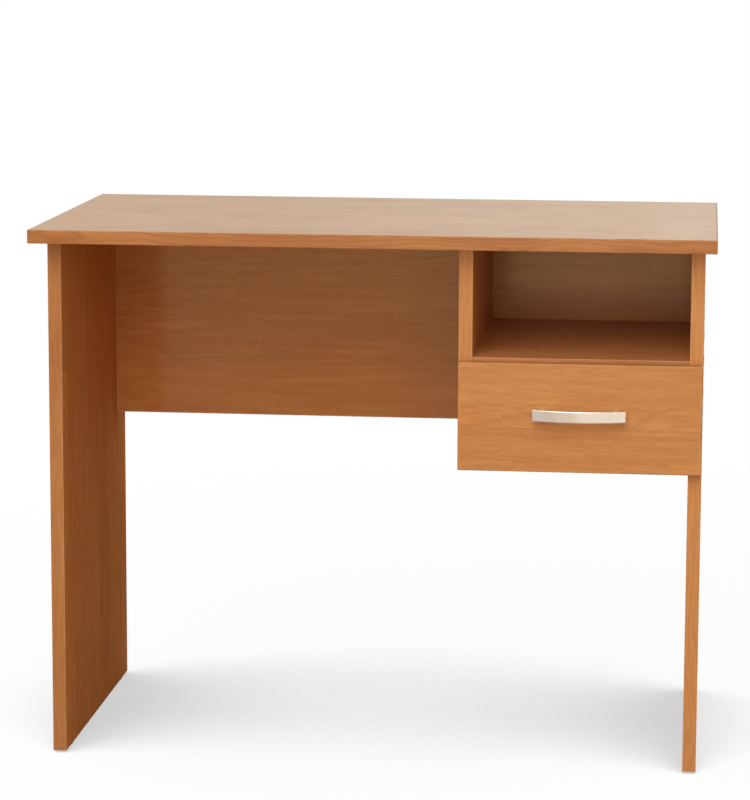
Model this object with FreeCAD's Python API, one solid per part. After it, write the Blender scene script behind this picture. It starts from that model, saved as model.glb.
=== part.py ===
import FreeCAD, Part
import math
import os

# Kneehole desk in laminated chipboard, with an open niche over one drawer at the right.
# X runs to the right, Y to the back and Z up, in millimetres.
# The origin is on the floor under the middle of the desktop.

# Desktop, sides, modesty panel, divider and shelf
desk_width = 900.0
board = 18.0  # thickness of the desktop, the carcass boards and the drawer front
side_height = 700.0
side_overhang = 15.0  # desktop past the outer face of each side
front_overhang = 55.0  # desktop past the front edges of the sides
rear_overhang = 5.0  # desktop past the rear edges of the sides
modesty_height = 295.0  # down to the lower edge of the drawer front
modesty_inset = 60.0  # front face of the modesty panel ahead of the sides' rear edges
bay_width = 285.0  # clear width between the divider and the right side
niche_height = 147.0  # clear height over the shelf

# Edge strips
thick_strip = 2.0  # on the desktop and the drawer front
thin_strip = 1.0  # on the other boards
strip_round = 1.5  # rounding of the thick strips' arrises

# Floor glides
glide_height = 3.0
glide_radius = 8.5
glide_foot_radius = 7.0
glide_bevel = 1.0
glide_nail_radius = 1.0
glide_nail_length = 14.0
glide_row_shares = (0.1, 0.9)  # along the depth of a side

# Connector screws with a socket head, which hold board to board
connector_length = 50.0
connector_head_radius = 5.0
connector_head_depth = 2.4
connector_neck_radius = 3.5
connector_neck_length = 13.0
connector_core_radius = 2.6
socket_across = 4.0
socket_depth = 3.0
modesty_row_shares = (0.15, 0.85)  # along the height of the modesty panel
shelf_row_shares = (0.2, 0.8)  # along the depth of the shelf
shelf_rear_share = 0.5  # along the width of the shelf
screw_clearance = 0.1  # between a fastener and its hole

# Cover caps on the connector heads
cap_radius = 6.5
cap_height = 0.5
cap_bevel = 0.3
cap_plug_radius = 1.7
cap_plug_length = 2.2

# Dowels that locate the desktop
dowel_radius = 4.0
dowel_length = 30.0
dowel_rise = 12.0  # reach into the desktop
dowel_bevel = 1.0
dowel_row_shares = (0.15, 0.85)  # along the depth of the board below

# Angle brackets that hold the desktop down
bracket_leg = 25.0
bracket_width = 20.0
bracket_sheet = 1.8
bracket_fold = 1.0  # inner radius of the fold
bracket_hole = 15.0  # hole centre from the corner
bracket_hole_radius = 2.2
bracket_corner = 4.0  # rounding of the legs' free corners
bracket_row_shares = (0.4, 0.72)  # along the depth of a side
kneehole_bracket_share = 0.4  # along the width of the kneehole

# Pan-head wood screws in brackets, runners and drawer bottom
wood_screw_length = 13.0
wood_screw_radius = 1.75
wood_screw_head_radius = 3.4
wood_screw_head_height = 1.2
wood_screw_head_bevel = 0.5

# Cross recesses in the heads of the wood, front and handle screws, as shares of the head's radius
cross_reach_share = 0.5  # each arm at the top
cross_tip_share = 0.2  # each arm at the bottom
cross_width_share = 0.25
cross_depth_share = 0.45

# Drawer front and drawer box
front_drop = 4.0  # drawer front below the upper face of the shelf
front_reveal = 1.0  # drawer front short of the outer faces that it covers, on each side
front_gap = 2.0  # between the drawer front and the carcass
box_board = 16.0
box_lift = 17.0  # box above the lower edge of the drawer front
box_headroom = 13.0  # between the box and the shelf
bottom_sheet = 3.0
groove_depth = 6.0
groove_height = 9.0  # groove above the lower edge of the box
groove_clearance = 0.2
box_row_shares = (0.25, 0.8)  # connectors along the box's height over its groove
bottom_row_shares = (0.25, 0.75)  # screws along the width of the drawer bottom

# Screws that hold the drawer front to the box
front_screw_length = 28.0
front_screw_radius = 2.0
front_screw_head_radius = 4.0
front_screw_head_depth = 2.0
front_screw_gap = 8.0  # past the ends of the box's connectors
front_screw_height_shares = (0.2, 0.8)  # along the box's height over its groove

# Bow handle
handle_end = 13.0  # strap past the middle of each post
handle_height = 15.0
handle_strap = 3.5
handle_reach = 27.0  # from the drawer front to the top of the bow
handle_sag = 11.0  # ends of the bow behind its middle
handle_round = 1.2
handle_centres = 96.0
handle_rise = 6.0  # above the middle of the drawer front
post_radius = 4.5
post_foot_radius = 6.0
post_foot_height = 2.0
post_bore_depth = 10.0
handle_screw_radius = 2.0
handle_screw_reach = 7.0  # into the post
handle_screw_head_radius = 4.0
handle_screw_head_height = 2.4
handle_screw_head_bevel = 1.0

# Drawer runners, in distances from the bay's wall across and from the box's lower edge up
runner_gap = 12.7  # between the wall of the bay and the drawer box
runner_length = 350.0  # stock length of the wall rail and the drawer box, which sets the desk's depth
runner_setback = 2.0  # wall rail behind the front edge of the bay
runner_rear_gap = 28.0  # between the wall rail and the modesty panel
sheet = 1.2
fold = 0.2  # inner radius of the folds
wall_rail_width = 10.6
wall_rail_lip = 2.0
wall_rail_lower_start = 26.0  # lower flange behind the rail's front end
wall_rail_upper_start = 71.0  # upper flange behind the rail's front end
stop_clearance = 2.2  # between the stop and the running flange
stop_width = 5.6
wall_screw_shares = (0.3, 0.6, 0.93)  # along the wall rail
box_rail_setback = 2.0  # at both ends of the drawer box
box_rail_under = 11.0  # flange under the drawer side
box_rail_clearance = 0.1  # between the box rail and the drawer side
track_height = 12.8  # underside of the running flange
track_edge = 4.4  # inner face of the running flange's lip, from the wall
track_lip = 3.3
box_screw_shares = (0.12, 0.5, 0.85)  # along the box rail
box_screw_inset = 5.0  # from the outer face of the drawer side

# Rollers and their rivets
wall_roller_radius = 9.0
wall_roller_setback = 12.0  # roller centre behind the wall rail's front end
box_roller_radius = 9.6
box_roller_setback = 12.0  # roller centre ahead of the box rail's rear end
roller_side_clearance = 0.4
roller_gap = 0.05  # between a roller and its track
roller_play = 0.5  # over the box roller
track_end_clearance = 1.5  # running flange ahead of the box roller
rivet_radius = 2.0
rivet_bore_clearance = 0.05
rivet_shoulder_radius = 3.0
rivet_head_radius = 3.3
rivet_head_height = 0.8
recess_radius = 4.0
recess_depth = 1.1
rivet_end_clearance = 0.2
roller_bevel = 0.6

# Places that follow from the sizes above
side_bottom = glide_height
side_top = side_bottom + side_height
desk_top = side_top + board
bay_depth = runner_setback + runner_length + runner_rear_gap
side_depth = bay_depth + modesty_inset
desk_depth = front_overhang + side_depth + rear_overhang
desk_front = -desk_depth / 2
side_front = desk_front + front_overhang
side_rear = side_front + side_depth
right_outer = desk_width / 2 - side_overhang
right_inner = right_outer - board
left_outer = -right_outer
left_inner = -right_inner
bay_left = right_inner - bay_width
divider_left = bay_left - board
modesty_front = side_front + bay_depth
modesty_rear = modesty_front + board
modesty_bottom = side_top - modesty_height
shelf_top = side_top - niche_height
shelf_bottom = shelf_top - board
front_back = side_front - front_gap
front_face = front_back - board
front_left = divider_left + front_reveal
front_right = right_outer - front_reveal
front_top = shelf_top - front_drop
front_bottom = modesty_bottom
box_left = bay_left + runner_gap
box_right = right_inner - runner_gap
box_front = front_back
box_rear = box_front + runner_length
box_bottom = front_bottom + box_lift
box_top = shelf_bottom - box_headroom
box_inner_left = box_left + box_board
box_inner_right = box_right - box_board
groove_bottom = box_bottom + groove_height
groove_top = groove_bottom + bottom_sheet + 2 * groove_clearance
bottom_low = groove_bottom + groove_clearance
bottom_high = bottom_low + bottom_sheet
handle_x = (front_left + front_right) / 2
handle_z = (front_bottom + front_top) / 2 + handle_rise
wall_rail_front = side_front + runner_setback
box_rail_front = front_back + box_rail_setback
box_rail_rear = box_rear - box_rail_setback
box_rail_face = runner_gap - box_rail_clearance - sheet
wall_roller_y = wall_rail_front + wall_roller_setback
wall_roller_z = box_bottom + track_height - roller_gap - wall_roller_radius
box_roller_y = box_rail_rear - box_roller_setback
box_roller_z = box_bottom + box_roller_radius + roller_gap
wall_rail_ceiling = 2 * (box_roller_radius + roller_gap) + roller_play
wall_rail_top = wall_rail_ceiling + sheet
thread_radius = wood_screw_radius + screw_clearance

V = FreeCAD.Vector
RIGHT = V(1, 0, 0)
BACK = V(0, 1, 0)
UP = V(0, 0, 1)
LEFT = -RIGHT
FRONT = -BACK
DOWN = -UP


def block(across, along, up):
    """Board between two values on each axis."""
    corner = V(across[0], along[0], up[0])
    return Part.makeBox(across[1] - across[0], along[1] - along[0], up[1] - up[0], corner)


def turned(outline, place, direction):
    """Solid turned about a line from a place, from points of radius and distance along it."""
    points = [V(radius, 0, distance) for radius, distance in outline]
    face = Part.Face(Part.makePolygon(points + points[:1]))
    solid = face.revolve(V(0, 0, 0), UP, 360)
    solid.Placement = FreeCAD.Placement(place, FreeCAD.Rotation(UP, direction))
    return solid


def cut_all(solid, tools):
    """Solid with a list of holes cut from it."""
    return solid.cut(Part.makeCompound(tools))


def between(start, end, shares):
    """Places at shares of the way from one value to another."""
    return [start + (end - start) * share for share in shares]


def round_arrises(solid, limits, radius):
    """Solid with the edges rounded that lie on two or more faces of a surrounding box."""
    def is_arris(edge):
        centre = edge.CenterOfMass
        pairs = zip(centre, limits)
        return sum(min(abs(value - low), abs(value - high)) < Part.Precision.confusion()
                   for value, (low, high) in pairs) > 1
    return solid.makeFillet(radius, [edge for edge in solid.Edges if is_arris(edge)])


def banded_frame(limits, flat_axis):
    """Four edge strips round a board, the first two over the ends of the other two."""
    first, second = [axis for axis in (0, 1, 2) if axis != flat_axis]
    strips = []
    for axis, other, inset in ((second, first, 0), (first, second, thick_strip)):
        low, high = limits[axis]
        for start, end in ((low, low + thick_strip), (high - thick_strip, high)):
            spans = list(limits)
            spans[axis] = (start, end)
            spans[other] = (limits[other][0] + inset, limits[other][1] - inset)
            strips.append(round_arrises(block(*spans), limits, strip_round))
    return Part.makeCompound(strips)


def inside(limits, flat_axis):
    """Board that fills four edge strips."""
    spans = [(low, high) if axis == flat_axis else (low + thick_strip, high - thick_strip)
             for axis, (low, high) in enumerate(limits)]
    return block(*spans)


desktop_limits = [(-desk_width / 2, desk_width / 2), (desk_front, -desk_front), (side_top, desk_top)]
front_limits = [(front_left, front_right), (front_face, front_back), (front_bottom, front_top)]


# Connector screws, their holes and their cover caps

def connector(place, direction, grow=0):
    """Connector screw, or with some growth its hole, with the head flush with a board's face."""
    head = connector_head_radius + grow
    neck = connector_neck_radius + grow
    core = connector_core_radius + grow
    cone = connector_head_depth + head - neck
    end = connector_length + grow
    outline = [(0, -grow), (head, -grow), (head, connector_head_depth), (neck, cone),
               (neck, connector_neck_length), (core, connector_neck_length), (core, end - core), (0, end)]
    return turned(outline, place, direction)


def socket(place, direction):
    """Six-sided socket in a connector's head."""
    corner_radius = socket_across / math.sqrt(3)
    turns = [math.radians(60 * corner) for corner in range(7)]
    points = [V(corner_radius * math.cos(turn), corner_radius * math.sin(turn), 0) for turn in turns]
    prism = Part.Face(Part.makePolygon(points)).extrude(UP * socket_depth)
    prism.Placement = FreeCAD.Placement(place, FreeCAD.Rotation(UP, direction))
    return prism


def connector_group(seats):
    """Connector screws at a list of seats."""
    return Part.makeCompound([connector(*seat).cut(socket(*seat)) for seat in seats])


def connector_holes(seats):
    """Holes for the connector screws at a list of seats."""
    return [connector(place, direction, screw_clearance) for place, direction in seats]


def modesty_seats():
    """Connectors through the sides into the ends of the modesty panel."""
    middle = (modesty_front + modesty_rear) / 2
    rows = between(modesty_bottom, side_top, modesty_row_shares)
    left = [(V(left_outer, middle, row), RIGHT) for row in rows]
    return left + [(V(right_outer, middle, row), LEFT) for row in rows]


def shelf_seats():
    """Connectors through the divider and the right side into the ends of the shelf."""
    middle = (shelf_bottom + shelf_top) / 2
    rows = between(side_front, modesty_front, shelf_row_shares)
    left = [(V(divider_left, row, middle), RIGHT) for row in rows]
    return left + [(V(right_outer, row, middle), LEFT) for row in rows]


def rear_seats():
    """Connectors through the modesty panel into the divider and the shelf."""
    divider_middle = (divider_left + bay_left) / 2
    rows = between(modesty_bottom, side_top, modesty_row_shares)
    seats = [(V(divider_middle, modesty_rear, row), FRONT) for row in rows]
    shelf_middle = between(bay_left, right_inner, [shelf_rear_share])[0]
    return seats + [(V(shelf_middle, modesty_rear, (shelf_bottom + shelf_top) / 2), FRONT)]


def carcass_seats():
    """All connectors of the carcass."""
    return modesty_seats() + shelf_seats() + rear_seats()


def carcass_connectors():
    """Connector screws of the carcass."""
    return connector_group(carcass_seats())


def cover_caps():
    """Plastic caps plugged into the carcass connectors' sockets."""
    outline = [(0, -cap_height), (cap_radius - cap_bevel, -cap_height), (cap_radius, cap_bevel - cap_height),
               (cap_radius, 0), (cap_plug_radius, 0), (cap_plug_radius, cap_plug_length),
               (0, cap_plug_length)]
    return Part.makeCompound([turned(outline, *seat) for seat in carcass_seats()])


# Dowels, brackets and wood screws under the desktop

def dowel_places():
    """Foot of each dowel, in the top edges of the sides and the divider."""
    foot = side_top + dowel_rise - dowel_length
    boards = ((left_outer, left_inner, side_rear), (divider_left, bay_left, modesty_front),
              (right_inner, right_outer, side_rear))
    return [V((low + high) / 2, row, foot) for low, high, rear in boards
            for row in between(side_front, rear, dowel_row_shares)]


def dowel_holes():
    """Holes for the dowels, a little longer than the dowels."""
    radius = dowel_radius + screw_clearance
    length = dowel_length + 2 * dowel_bevel
    return [Part.makeCylinder(radius, length, place - UP * dowel_bevel) for place in dowel_places()]


def dowels():
    """Beech dowels with bevelled ends."""
    waist = dowel_radius - dowel_bevel
    outline = [(0, 0), (waist, 0), (dowel_radius, dowel_bevel), (dowel_radius, dowel_length - dowel_bevel),
               (waist, dowel_length), (0, dowel_length)]
    return Part.makeCompound([turned(outline, place, UP) for place in dowel_places()])


def bracket_seats():
    """Corner of each bracket under the desktop, and the way that it faces."""
    rows = between(side_front, side_rear, bracket_row_shares)
    seats = [(V(left_inner, row, side_top), RIGHT) for row in rows]
    seats += [(V(right_inner, row, side_top), LEFT) for row in rows]
    seats.append((V(divider_left, rows[0], side_top), LEFT))
    middle = between(left_inner, divider_left, [kneehole_bracket_share])[0]
    seats.append((V(middle, modesty_front, side_top), FRONT))
    return seats


def bracket(corner, facing):
    """Angle bracket with one leg on a board's face and one under the desktop."""
    path = [V(0, 0, -bracket_leg), V(0, 0, 0), V(bracket_leg, 0, 0)]
    section = folded_section(path, bracket_sheet, bracket_fold)
    section.translate(FRONT * bracket_width / 2)
    angle = section.extrude(BACK * bracket_width)
    ends = [edge for edge in angle.Edges if abs(edge.Length - bracket_sheet) < Part.Precision.confusion()
            and max(abs(edge.CenterOfMass.x), abs(edge.CenterOfMass.z)) > bracket_hole]
    corners = [edge for edge in ends if abs(edge.tangentAt(edge.FirstParameter).y) < 1]
    angle = angle.makeFillet(bracket_corner, corners)
    angle = angle.cut(Part.makeCylinder(bracket_hole_radius, bracket_leg, DOWN * bracket_hole, RIGHT))
    angle = angle.cut(Part.makeCylinder(bracket_hole_radius, bracket_leg, RIGHT * bracket_hole, DOWN))
    angle.Placement = FreeCAD.Placement(corner, FreeCAD.Rotation(RIGHT, facing))
    return angle


def brackets():
    """Angle brackets that hold the desktop to the boards below it."""
    return Part.makeCompound([bracket(*seat) for seat in bracket_seats()])


def bracket_screw_seats():
    """Places on the brackets' legs where the screws' heads bear, and the way that the screws go."""
    seats = []
    for corner, facing in bracket_seats():
        seats.append((corner + facing * bracket_sheet + DOWN * bracket_hole, -facing))
        seats.append((corner + facing * bracket_hole + DOWN * bracket_sheet, UP))
    return seats


def cross_recess(place, direction, head_radius):
    """Tapered cross sunk into the top of a screw's head."""
    reach = head_radius * cross_reach_share
    tip = head_radius * cross_tip_share
    width = head_radius * cross_width_share
    depth = head_radius * cross_depth_share
    outline = [V(-reach, 0, 0), V(reach, 0, 0), V(tip, 0, depth), V(-tip, 0, depth)]
    slot = Part.Face(Part.makePolygon(outline + outline[:1])).extrude(BACK * width)
    slot.translate(FRONT * width / 2)
    crossing = slot.copy()
    crossing.rotate(V(0, 0, 0), UP, 90)
    cross = slot.fuse(crossing)
    cross.Placement = FreeCAD.Placement(place, FreeCAD.Rotation(UP, direction))
    return cross


def wood_screw(place, direction):
    """Pan-head screw whose head bears on a place."""
    top = place - direction * wood_screw_head_height
    rim = wood_screw_head_radius - wood_screw_head_bevel
    rise = wood_screw_head_bevel - wood_screw_head_height
    outline = [(0, -wood_screw_head_height), (rim, -wood_screw_head_height), (wood_screw_head_radius, rise),
               (wood_screw_head_radius, 0), (wood_screw_radius, 0),
               (wood_screw_radius, wood_screw_length - wood_screw_radius), (0, wood_screw_length)]
    return turned(outline, place, direction).cut(cross_recess(top, direction, wood_screw_head_radius))


def wood_screws(seats):
    """Wood screws at a list of seats."""
    return Part.makeCompound([wood_screw(*seat) for seat in seats])


def wood_screw_holes(seats):
    """Holes for the wood screws at a list of seats."""
    length = wood_screw_length + screw_clearance
    return [Part.makeCylinder(thread_radius, length, place, direction) for place, direction in seats]


# Carcass boards and their edge strips

def carcass_holes():
    """All holes in the carcass boards."""
    seats = bracket_screw_seats() + wall_screw_seats(bay_left, 1) + wall_screw_seats(right_inner, -1)
    return connector_holes(carcass_seats()) + dowel_holes() + wood_screw_holes(seats) + nail_holes()


def desktop():
    """Desktop board inside its edge strips."""
    return cut_all(inside(desktop_limits, 2), carcass_holes())


def desktop_edging():
    """Thick edge strips round the desktop."""
    return banded_frame(desktop_limits, 2)


def side_panel(low, high):
    """Upright side between its front and rear edge strips."""
    along = (side_front + thin_strip, side_rear - thin_strip)
    return cut_all(block((low, high), along, (side_bottom, side_top)), carcass_holes())


def side_edging(low, high):
    """Thin strips on the front and rear edges of a side."""
    up = (side_bottom, side_top)
    strips = ((side_front, side_front + thin_strip), (side_rear - thin_strip, side_rear))
    return Part.makeCompound([block((low, high), along, up) for along in strips])


def modesty_panel():
    """Panel between the sides that closes the back of the kneehole and the niche."""
    panel = block((left_inner, right_inner), (modesty_front, modesty_rear),
                  (modesty_bottom + thin_strip, side_top))
    return cut_all(panel, carcass_holes())


def modesty_edging():
    """Thin strip on the lower edge of the modesty panel."""
    return block((left_inner, right_inner), (modesty_front, modesty_rear),
                 (modesty_bottom, modesty_bottom + thin_strip))


def divider():
    """Upright divider between the kneehole and the bay of niche and drawer."""
    panel = block((divider_left, bay_left), (side_front + thin_strip, modesty_front),
                  (modesty_bottom + thin_strip, side_top))
    return cut_all(panel, carcass_holes())


def divider_edging():
    """Thin strips on the front and lower edges of the divider."""
    across = (divider_left, bay_left)
    front = block(across, (side_front, side_front + thin_strip), (modesty_bottom, side_top))
    lower = block(across, (side_front + thin_strip, modesty_front),
                  (modesty_bottom, modesty_bottom + thin_strip))
    return Part.makeCompound([front, lower])


def shelf():
    """Floor of the niche over the drawer."""
    along = (side_front + thin_strip, modesty_front)
    panel = block((bay_left, right_inner), along, (shelf_bottom, shelf_top))
    return cut_all(panel, carcass_holes())


def shelf_edging():
    """Thin strip on the front edge of the shelf."""
    return block((bay_left, right_inner), (side_front, side_front + thin_strip), (shelf_bottom, shelf_top))


# Floor glides

def glide_places():
    """Middle of each glide's foot on the floor."""
    middle = (right_inner + right_outer) / 2
    rows = between(side_front, side_rear, glide_row_shares)
    return [V(across, row, 0) for across in (-middle, middle) for row in rows]


def glides():
    """Nailed plastic glides under the sides."""
    tip = glide_height + glide_nail_length
    outline = [(0, 0), (glide_foot_radius, 0), (glide_radius, glide_bevel), (glide_radius, glide_height),
               (glide_nail_radius, glide_height), (glide_nail_radius, tip - glide_nail_radius), (0, tip)]
    return Part.makeCompound([turned(outline, place, UP) for place in glide_places()])


def nail_holes():
    """Holes for the glides' nails in the sides."""
    radius = glide_nail_radius + screw_clearance
    length = glide_nail_length + screw_clearance
    return [Part.makeCylinder(radius, length, place + UP * glide_height) for place in glide_places()]


# Drawer runners: folded steel rails with a nylon roller at each end

def folded_section(path, thickness, inner_radius):
    """Face of a folded sheet to the right of a path of square turns, in the plane of X and Z."""
    headings = [(end - start).normalize() for start, end in zip(path, path[1:])]
    rights = [V(heading.z, 0, -heading.x) for heading in headings]
    turns = [before.z * after.x - before.x * after.z for before, after in zip(headings, headings[1:])]
    offsets = [rights[0]] + [a + b for a, b in zip(rights, rights[1:])] + [rights[-1]]
    other = [corner + offset * thickness for corner, offset in zip(path, offsets)]
    outer_radius = inner_radius + thickness
    near = bent_edges(path, [outer_radius if turn > 0 else inner_radius for turn in turns])
    far = bent_edges(other, [inner_radius if turn > 0 else outer_radius for turn in turns])
    ends = [Part.LineSegment(path[0], other[0]).toShape(), Part.LineSegment(path[-1], other[-1]).toShape()]
    return Part.Face(Part.Wire(Part.__sortEdges__(near + far + ends)))


def bent_edges(corners, radii):
    """Straight edges joined by quarter arcs at the inner corners of a path."""
    edges = []
    start = corners[0]
    for before, corner, after, radius in zip(corners, corners[1:], corners[2:], radii):
        back = (before - corner).normalize() * radius
        ahead = (after - corner).normalize() * radius
        middle = corner + (back + ahead) * (1 - math.sqrt(0.5))
        edges.append(Part.LineSegment(start, corner + back).toShape())
        edges.append(Part.Arc(corner + back, middle, corner + ahead).toShape())
        start = corner + ahead
    edges.append(Part.LineSegment(start, corners[-1]).toShape())
    return edges


def span(wall, side, near, far):
    """Low and high X between two distances from a wall of the bay."""
    return sorted((wall + side * near, wall + side * far))


def rail(path, wall, side, start, end):
    """Folded rail along Y from a path of distances from the wall and from the box's lower edge."""
    section = folded_section([V(across, 0, up) for across, up in path], sheet, fold)
    if side < 0:
        section = section.mirror(V(0, 0, 0), RIGHT)
    section.translate(V(wall, start, box_bottom))
    return section.extrude(BACK * (end - start))


def wall_screw_seats(wall, side):
    """Seats of the screws that hold a wall rail."""
    middle = box_bottom + wall_rail_top / 2
    rows = between(wall_rail_front, wall_rail_front + runner_length, wall_screw_shares)
    return [(V(wall + side * sheet, row, middle), RIGHT * -side) for row in rows]


def wall_rail(wall, side):
    """Channel on a wall of the bay, cut away at the front so that the drawer can be lifted out."""
    path = [(wall_rail_width, wall_rail_lip), (wall_rail_width, -sheet), (0, -sheet), (0, wall_rail_top),
            (wall_rail_width, wall_rail_top)]
    channel = rail(path, wall, side, wall_rail_front, wall_rail_front + runner_length)
    flanges = span(wall, side, sheet, runner_gap)
    middle = box_bottom + wall_rail_top / 2
    lower = (wall_rail_front, wall_rail_front + wall_rail_lower_start)
    upper_start = wall_rail_front + wall_rail_upper_start
    cuts = [block(flanges, lower, (box_bottom - sheet, middle)),
            block(flanges, (wall_rail_front, upper_start), (middle, box_bottom + wall_rail_top)),
            Part.makeCylinder(rivet_radius + rivet_bore_clearance, sheet,
                              V(wall, wall_roller_y, wall_roller_z), RIGHT * side)]
    cuts += wood_screw_holes(wall_screw_seats(wall, side))
    stop_bottom = track_height + sheet + stop_clearance
    stop_near = wall_rail_width - stop_width
    stop = block(span(wall, side, stop_near, wall_rail_width), (upper_start, upper_start + sheet),
                 (box_bottom + stop_bottom, box_bottom + wall_rail_ceiling))
    return cut_all(channel, cuts).fuse(stop).removeSplitter()


def box_screw_seats(wall, side):
    """Seats of the screws that hold a box rail, under the drawer side."""
    across = wall + side * (runner_gap + box_screw_inset)
    under = box_bottom - box_rail_clearance - sheet
    return [(V(across, row, under), UP) for row in between(box_rail_front, box_rail_rear, box_screw_shares)]


def box_rail(wall, side):
    """Rail under a drawer side, whose outer flange runs on the wall roller."""
    under = -sheet - box_rail_clearance
    path = [(runner_gap + box_rail_under, under), (box_rail_face, under), (box_rail_face, track_height),
            (track_edge, track_height), (track_edge, track_height - track_lip)]
    profile = rail(path, wall, side, box_rail_front, box_rail_rear)
    flange_end = box_roller_y - box_roller_radius - track_end_clearance
    top = box_bottom + track_height + sheet
    cuts = [block(span(wall, side, 0, box_rail_face), (flange_end, box_rail_rear), (box_bottom, top)),
            Part.makeCylinder(rivet_radius + rivet_bore_clearance, sheet,
                              V(wall + side * box_rail_face, box_roller_y, box_roller_z), RIGHT * side)]
    return cut_all(profile, cuts + wood_screw_holes(box_screw_seats(wall, side)))


def roller_bounds():
    """Across from the wall: the wall roller's two faces, then the box roller's two faces."""
    wall_near = track_edge + roller_side_clearance
    wall_far = box_rail_face - roller_side_clearance
    box_far = wall_rail_width - sheet - roller_side_clearance
    return (wall_near, wall_far), (track_edge - sheet, box_far)


def roller(place, direction, radius, width):
    """Nylon roller with bevelled rims, from its plain face to the face with the rivet's recess."""
    bore = rivet_radius + rivet_bore_clearance
    floor = width - recess_depth
    outline = [(bore, 0), (radius - roller_bevel, 0), (radius, roller_bevel), (radius, width - roller_bevel),
               (radius - roller_bevel, width), (recess_radius, width), (recess_radius, floor), (bore, floor)]
    return turned(outline, place, direction)


def rivet(place, direction, shoulder, width):
    """Rivet from the outer face of its rail, with a shoulder behind a roller and a head in its recess."""
    neck = sheet + shoulder - rivet_end_clearance
    head = sheet + shoulder + width - recess_depth + rivet_end_clearance
    top = head + rivet_head_height
    outline = [(0, 0), (rivet_radius, 0), (rivet_radius, sheet), (rivet_shoulder_radius, sheet),
               (rivet_shoulder_radius, neck), (rivet_radius, neck), (rivet_radius, head),
               (rivet_head_radius, head), (rivet_head_radius, top), (0, top)]
    return turned(outline, place, direction)


def wall_roller(wall, side):
    """Roller at the front of a wall rail, under the box rail's running flange."""
    near, far = roller_bounds()[0]
    place = V(wall + side * near, wall_roller_y, wall_roller_z)
    return roller(place, RIGHT * side, wall_roller_radius, far - near)


def wall_rivet(wall, side):
    """Rivet of a wall roller."""
    near, far = roller_bounds()[0]
    return rivet(V(wall, wall_roller_y, wall_roller_z), RIGHT * side, near - sheet, far - near)


def box_roller(wall, side):
    """Roller at the rear of a box rail, inside the wall rail."""
    near, far = roller_bounds()[1]
    place = V(wall + side * far, box_roller_y, box_roller_z)
    return roller(place, RIGHT * -side, box_roller_radius, far - near)


def box_rivet(wall, side):
    """Rivet of a box roller."""
    near, far = roller_bounds()[1]
    place = V(wall + side * (box_rail_face + sheet), box_roller_y, box_roller_z)
    return rivet(place, RIGHT * -side, box_rail_face - far, far - near)


# Drawer front, drawer box and their fasteners

def front_screw_seats():
    """Seats of the screws from inside the box into the drawer front."""
    bearing = box_front + box_board
    inset = connector_length + front_screw_gap
    columns = (box_left + inset, box_right - inset)
    rows = between(groove_top, box_top, front_screw_height_shares)
    return [V(column, bearing, row) for column in columns for row in rows]


def front_screw(place, grow=0):
    """Countersunk screw flush with the inside of the box, or with some growth its hole."""
    head = front_screw_head_radius + grow
    shank = front_screw_radius + grow
    end = front_screw_length + grow
    outline = [(0, -grow), (head, -grow), (shank, front_screw_head_depth), (shank, end - shank), (0, end)]
    return turned(outline, place, FRONT)


def front_screws():
    """Screws that hold the drawer front to the box."""
    return Part.makeCompound([front_screw(place).cut(cross_recess(place, FRONT, front_screw_head_radius))
                              for place in front_screw_seats()])


def handle_places():
    """Middle of each handle post on the drawer front."""
    return [V(handle_x + side * handle_centres / 2, front_face, handle_z) for side in (-1, 1)]


def drawer_holes():
    """All holes in the boards of the drawer."""
    depth = board + box_board
    radius = handle_screw_radius + screw_clearance
    holes = [Part.makeCylinder(radius, depth, place, BACK) for place in handle_places()]
    holes += [front_screw(place, screw_clearance) for place in front_screw_seats()]
    seats = box_screw_seats(bay_left, 1) + box_screw_seats(right_inner, -1) + bottom_screw_seats()
    return holes + connector_holes(box_seats()) + wood_screw_holes(seats)


def box_seats():
    """Connectors through the drawer sides into the ends of the box's front and back."""
    rows = between(groove_top, box_top, box_row_shares)
    middles = (box_front + box_board / 2, box_rear - box_board / 2)
    left = [(V(box_left, middle, row), RIGHT) for middle in middles for row in rows]
    return left + [(V(box_right, middle, row), LEFT) for middle in middles for row in rows]


def box_connectors():
    """Connector screws of the drawer box."""
    return connector_group(box_seats())


def drawer_front():
    """Drawer front board inside its edge strips."""
    return cut_all(inside(front_limits, 1), drawer_holes())


def drawer_front_edging():
    """Thick edge strips round the drawer front."""
    return banded_frame(front_limits, 1)


def bottom_slot():
    """Groove round the box for the drawer bottom."""
    across = (box_inner_left - groove_depth, box_inner_right + groove_depth)
    along = (box_front + box_board - groove_depth, box_rear)
    return block(across, along, (groove_bottom, groove_top))


def box_panel(across, along, bottom):
    """Board of the drawer box under its top edge strip."""
    panel = block(across, along, (bottom, box_top - thin_strip))
    return cut_all(panel, drawer_holes() + [bottom_slot()])


def drawer_side(low, high):
    """Side of the drawer box."""
    return box_panel((low, high), (box_front, box_rear), box_bottom)


def drawer_box_front():
    """Front of the drawer box, behind the drawer front."""
    return box_panel((box_inner_left, box_inner_right), (box_front, box_front + box_board), box_bottom)


def drawer_back():
    """Back of the drawer box, which stands on the drawer bottom."""
    return box_panel((box_inner_left, box_inner_right), (box_rear - box_board, box_rear), groove_top)


def drawer_box_edging():
    """Thin strips on the top edges of the drawer box."""
    up = (box_top - thin_strip, box_top)
    strips = [block(across, (box_front, box_rear), up)
              for across in ((box_left, box_inner_left), (box_inner_right, box_right))]
    inner = (box_inner_left, box_inner_right)
    strips += [block(inner, along, up)
               for along in ((box_front, box_front + box_board), (box_rear - box_board, box_rear))]
    return Part.makeCompound(strips)


def drawer_bottom():
    """Hardboard sheet slid into the groove from the rear, under the back."""
    reach = groove_depth - groove_clearance
    across = (box_inner_left - reach, box_inner_right + reach)
    panel = block(across, (box_front + box_board - reach, box_rear), (bottom_low, bottom_high))
    return cut_all(panel, wood_screw_holes(bottom_screw_seats()))


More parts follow.
